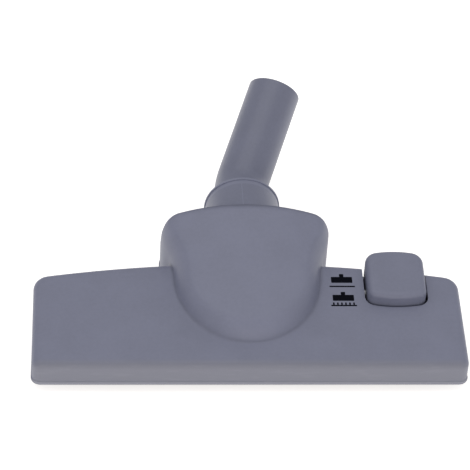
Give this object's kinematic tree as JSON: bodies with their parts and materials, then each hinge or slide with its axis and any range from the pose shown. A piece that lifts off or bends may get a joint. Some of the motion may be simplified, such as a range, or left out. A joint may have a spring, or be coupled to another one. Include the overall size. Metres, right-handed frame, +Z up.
{
  "type": "vacuum floor brush head",
  "caption": "Wide floor head for a vacuum cleaner: domed cover, rocker pedal that lowers the bristles, tilting neck and swivelling elbow with a socket for the wand.",
  "frame": {"origin": "on the floor, under the middle of the overall box", "axes": "+X along the head towards the pedal, +Y from the front edge towards the wand, +Z up from the floor"},
  "size_m": [0.2912, 0.2508, 0.0883],
  "materials": {
    "cover": "fine matte moulding texture",
    "base": "smooth matte moulding",
    "pedal_plastic": "fine matte moulding texture",
    "inner_plastic": "plain dark moulding",
    "seal_rubber": "soft matte rubber",
    "wheel_rubber": "soft matte rubber",
    "velour": "short pile",
    "bristle": "dark nylon tufts",
    "steel": "bright steel"
  },
  "bodies": {
    "housing": {"top_cover": "cover", "lower_housing": "base", "air_duct": "inner_plastic", "neck_seal": "seal_rubber", "front_lint_strip": "velour", "rear_lint_strip": "velour", "housing_screws": "steel", "left_axle": "steel", "right_axle": "steel", "detent_spring": "steel", "left_lift_spring": "steel", "right_lift_spring": "steel"},
    "neck": {"neck_joint": "cover", "collar_ring": "cover", "swivel_washer": "inner_plastic"},
    "elbow": {"elbow_tube": "cover"},
    "pedal": {"pedal": "pedal_plastic", "lift_shaft": "steel", "left_crank": "inner_plastic", "right_crank": "inner_plastic"},
    "brush": {"brush_carrier": "inner_plastic", "front_bristles": "bristle", "rear_left_bristles": "bristle", "rear_right_bristles": "bristle"},
    "left_roller": {"left_wheel": "wheel_rubber"},
    "right_roller": {"right_wheel": "wheel_rubber"}
  },
  "joints": [
    {"name": "neck_tilt", "type": "hinge", "parent": "housing", "child": "neck", "pos_m": [0, -0.00246, 0.036], "axis": [1, 0, 0], "range_deg": [0, 35]},
    {"name": "elbow_swivel", "type": "hinge", "parent": "neck", "child": "elbow", "pos_m": [0, -0.00246, 0.036], "axis": [0, 1, 0], "continuous": true},
    {"name": "pedal_rock", "type": "hinge", "parent": "housing", "child": "pedal", "pos_m": [0, -0.05695, 0.0275], "axis": [-1, 0, 0], "range_deg": [0, 14], "deforming": ["detent_spring"]},
    {"name": "brush_slide", "type": "slide", "parent": "housing", "child": "brush", "axis": [0, 0, 1], "range_m": [0, 0.0068], "deforming": ["left_lift_spring", "right_lift_spring"]},
    {"name": "left_roll", "type": "hinge", "parent": "housing", "child": "left_roller", "pos_m": [-0.044, -0.01696, 0.009], "axis": [1, 0, 0], "continuous": true},
    {"name": "right_roll", "type": "hinge", "parent": "housing", "child": "right_roller", "pos_m": [0.044, -0.01696, 0.009], "axis": [1, 0, 0], "continuous": true}
  ],
  "couplings": [
    {"joint": "pedal_rock", "follows": "brush_slide", "rad_per_m": 35.916}
  ]
}
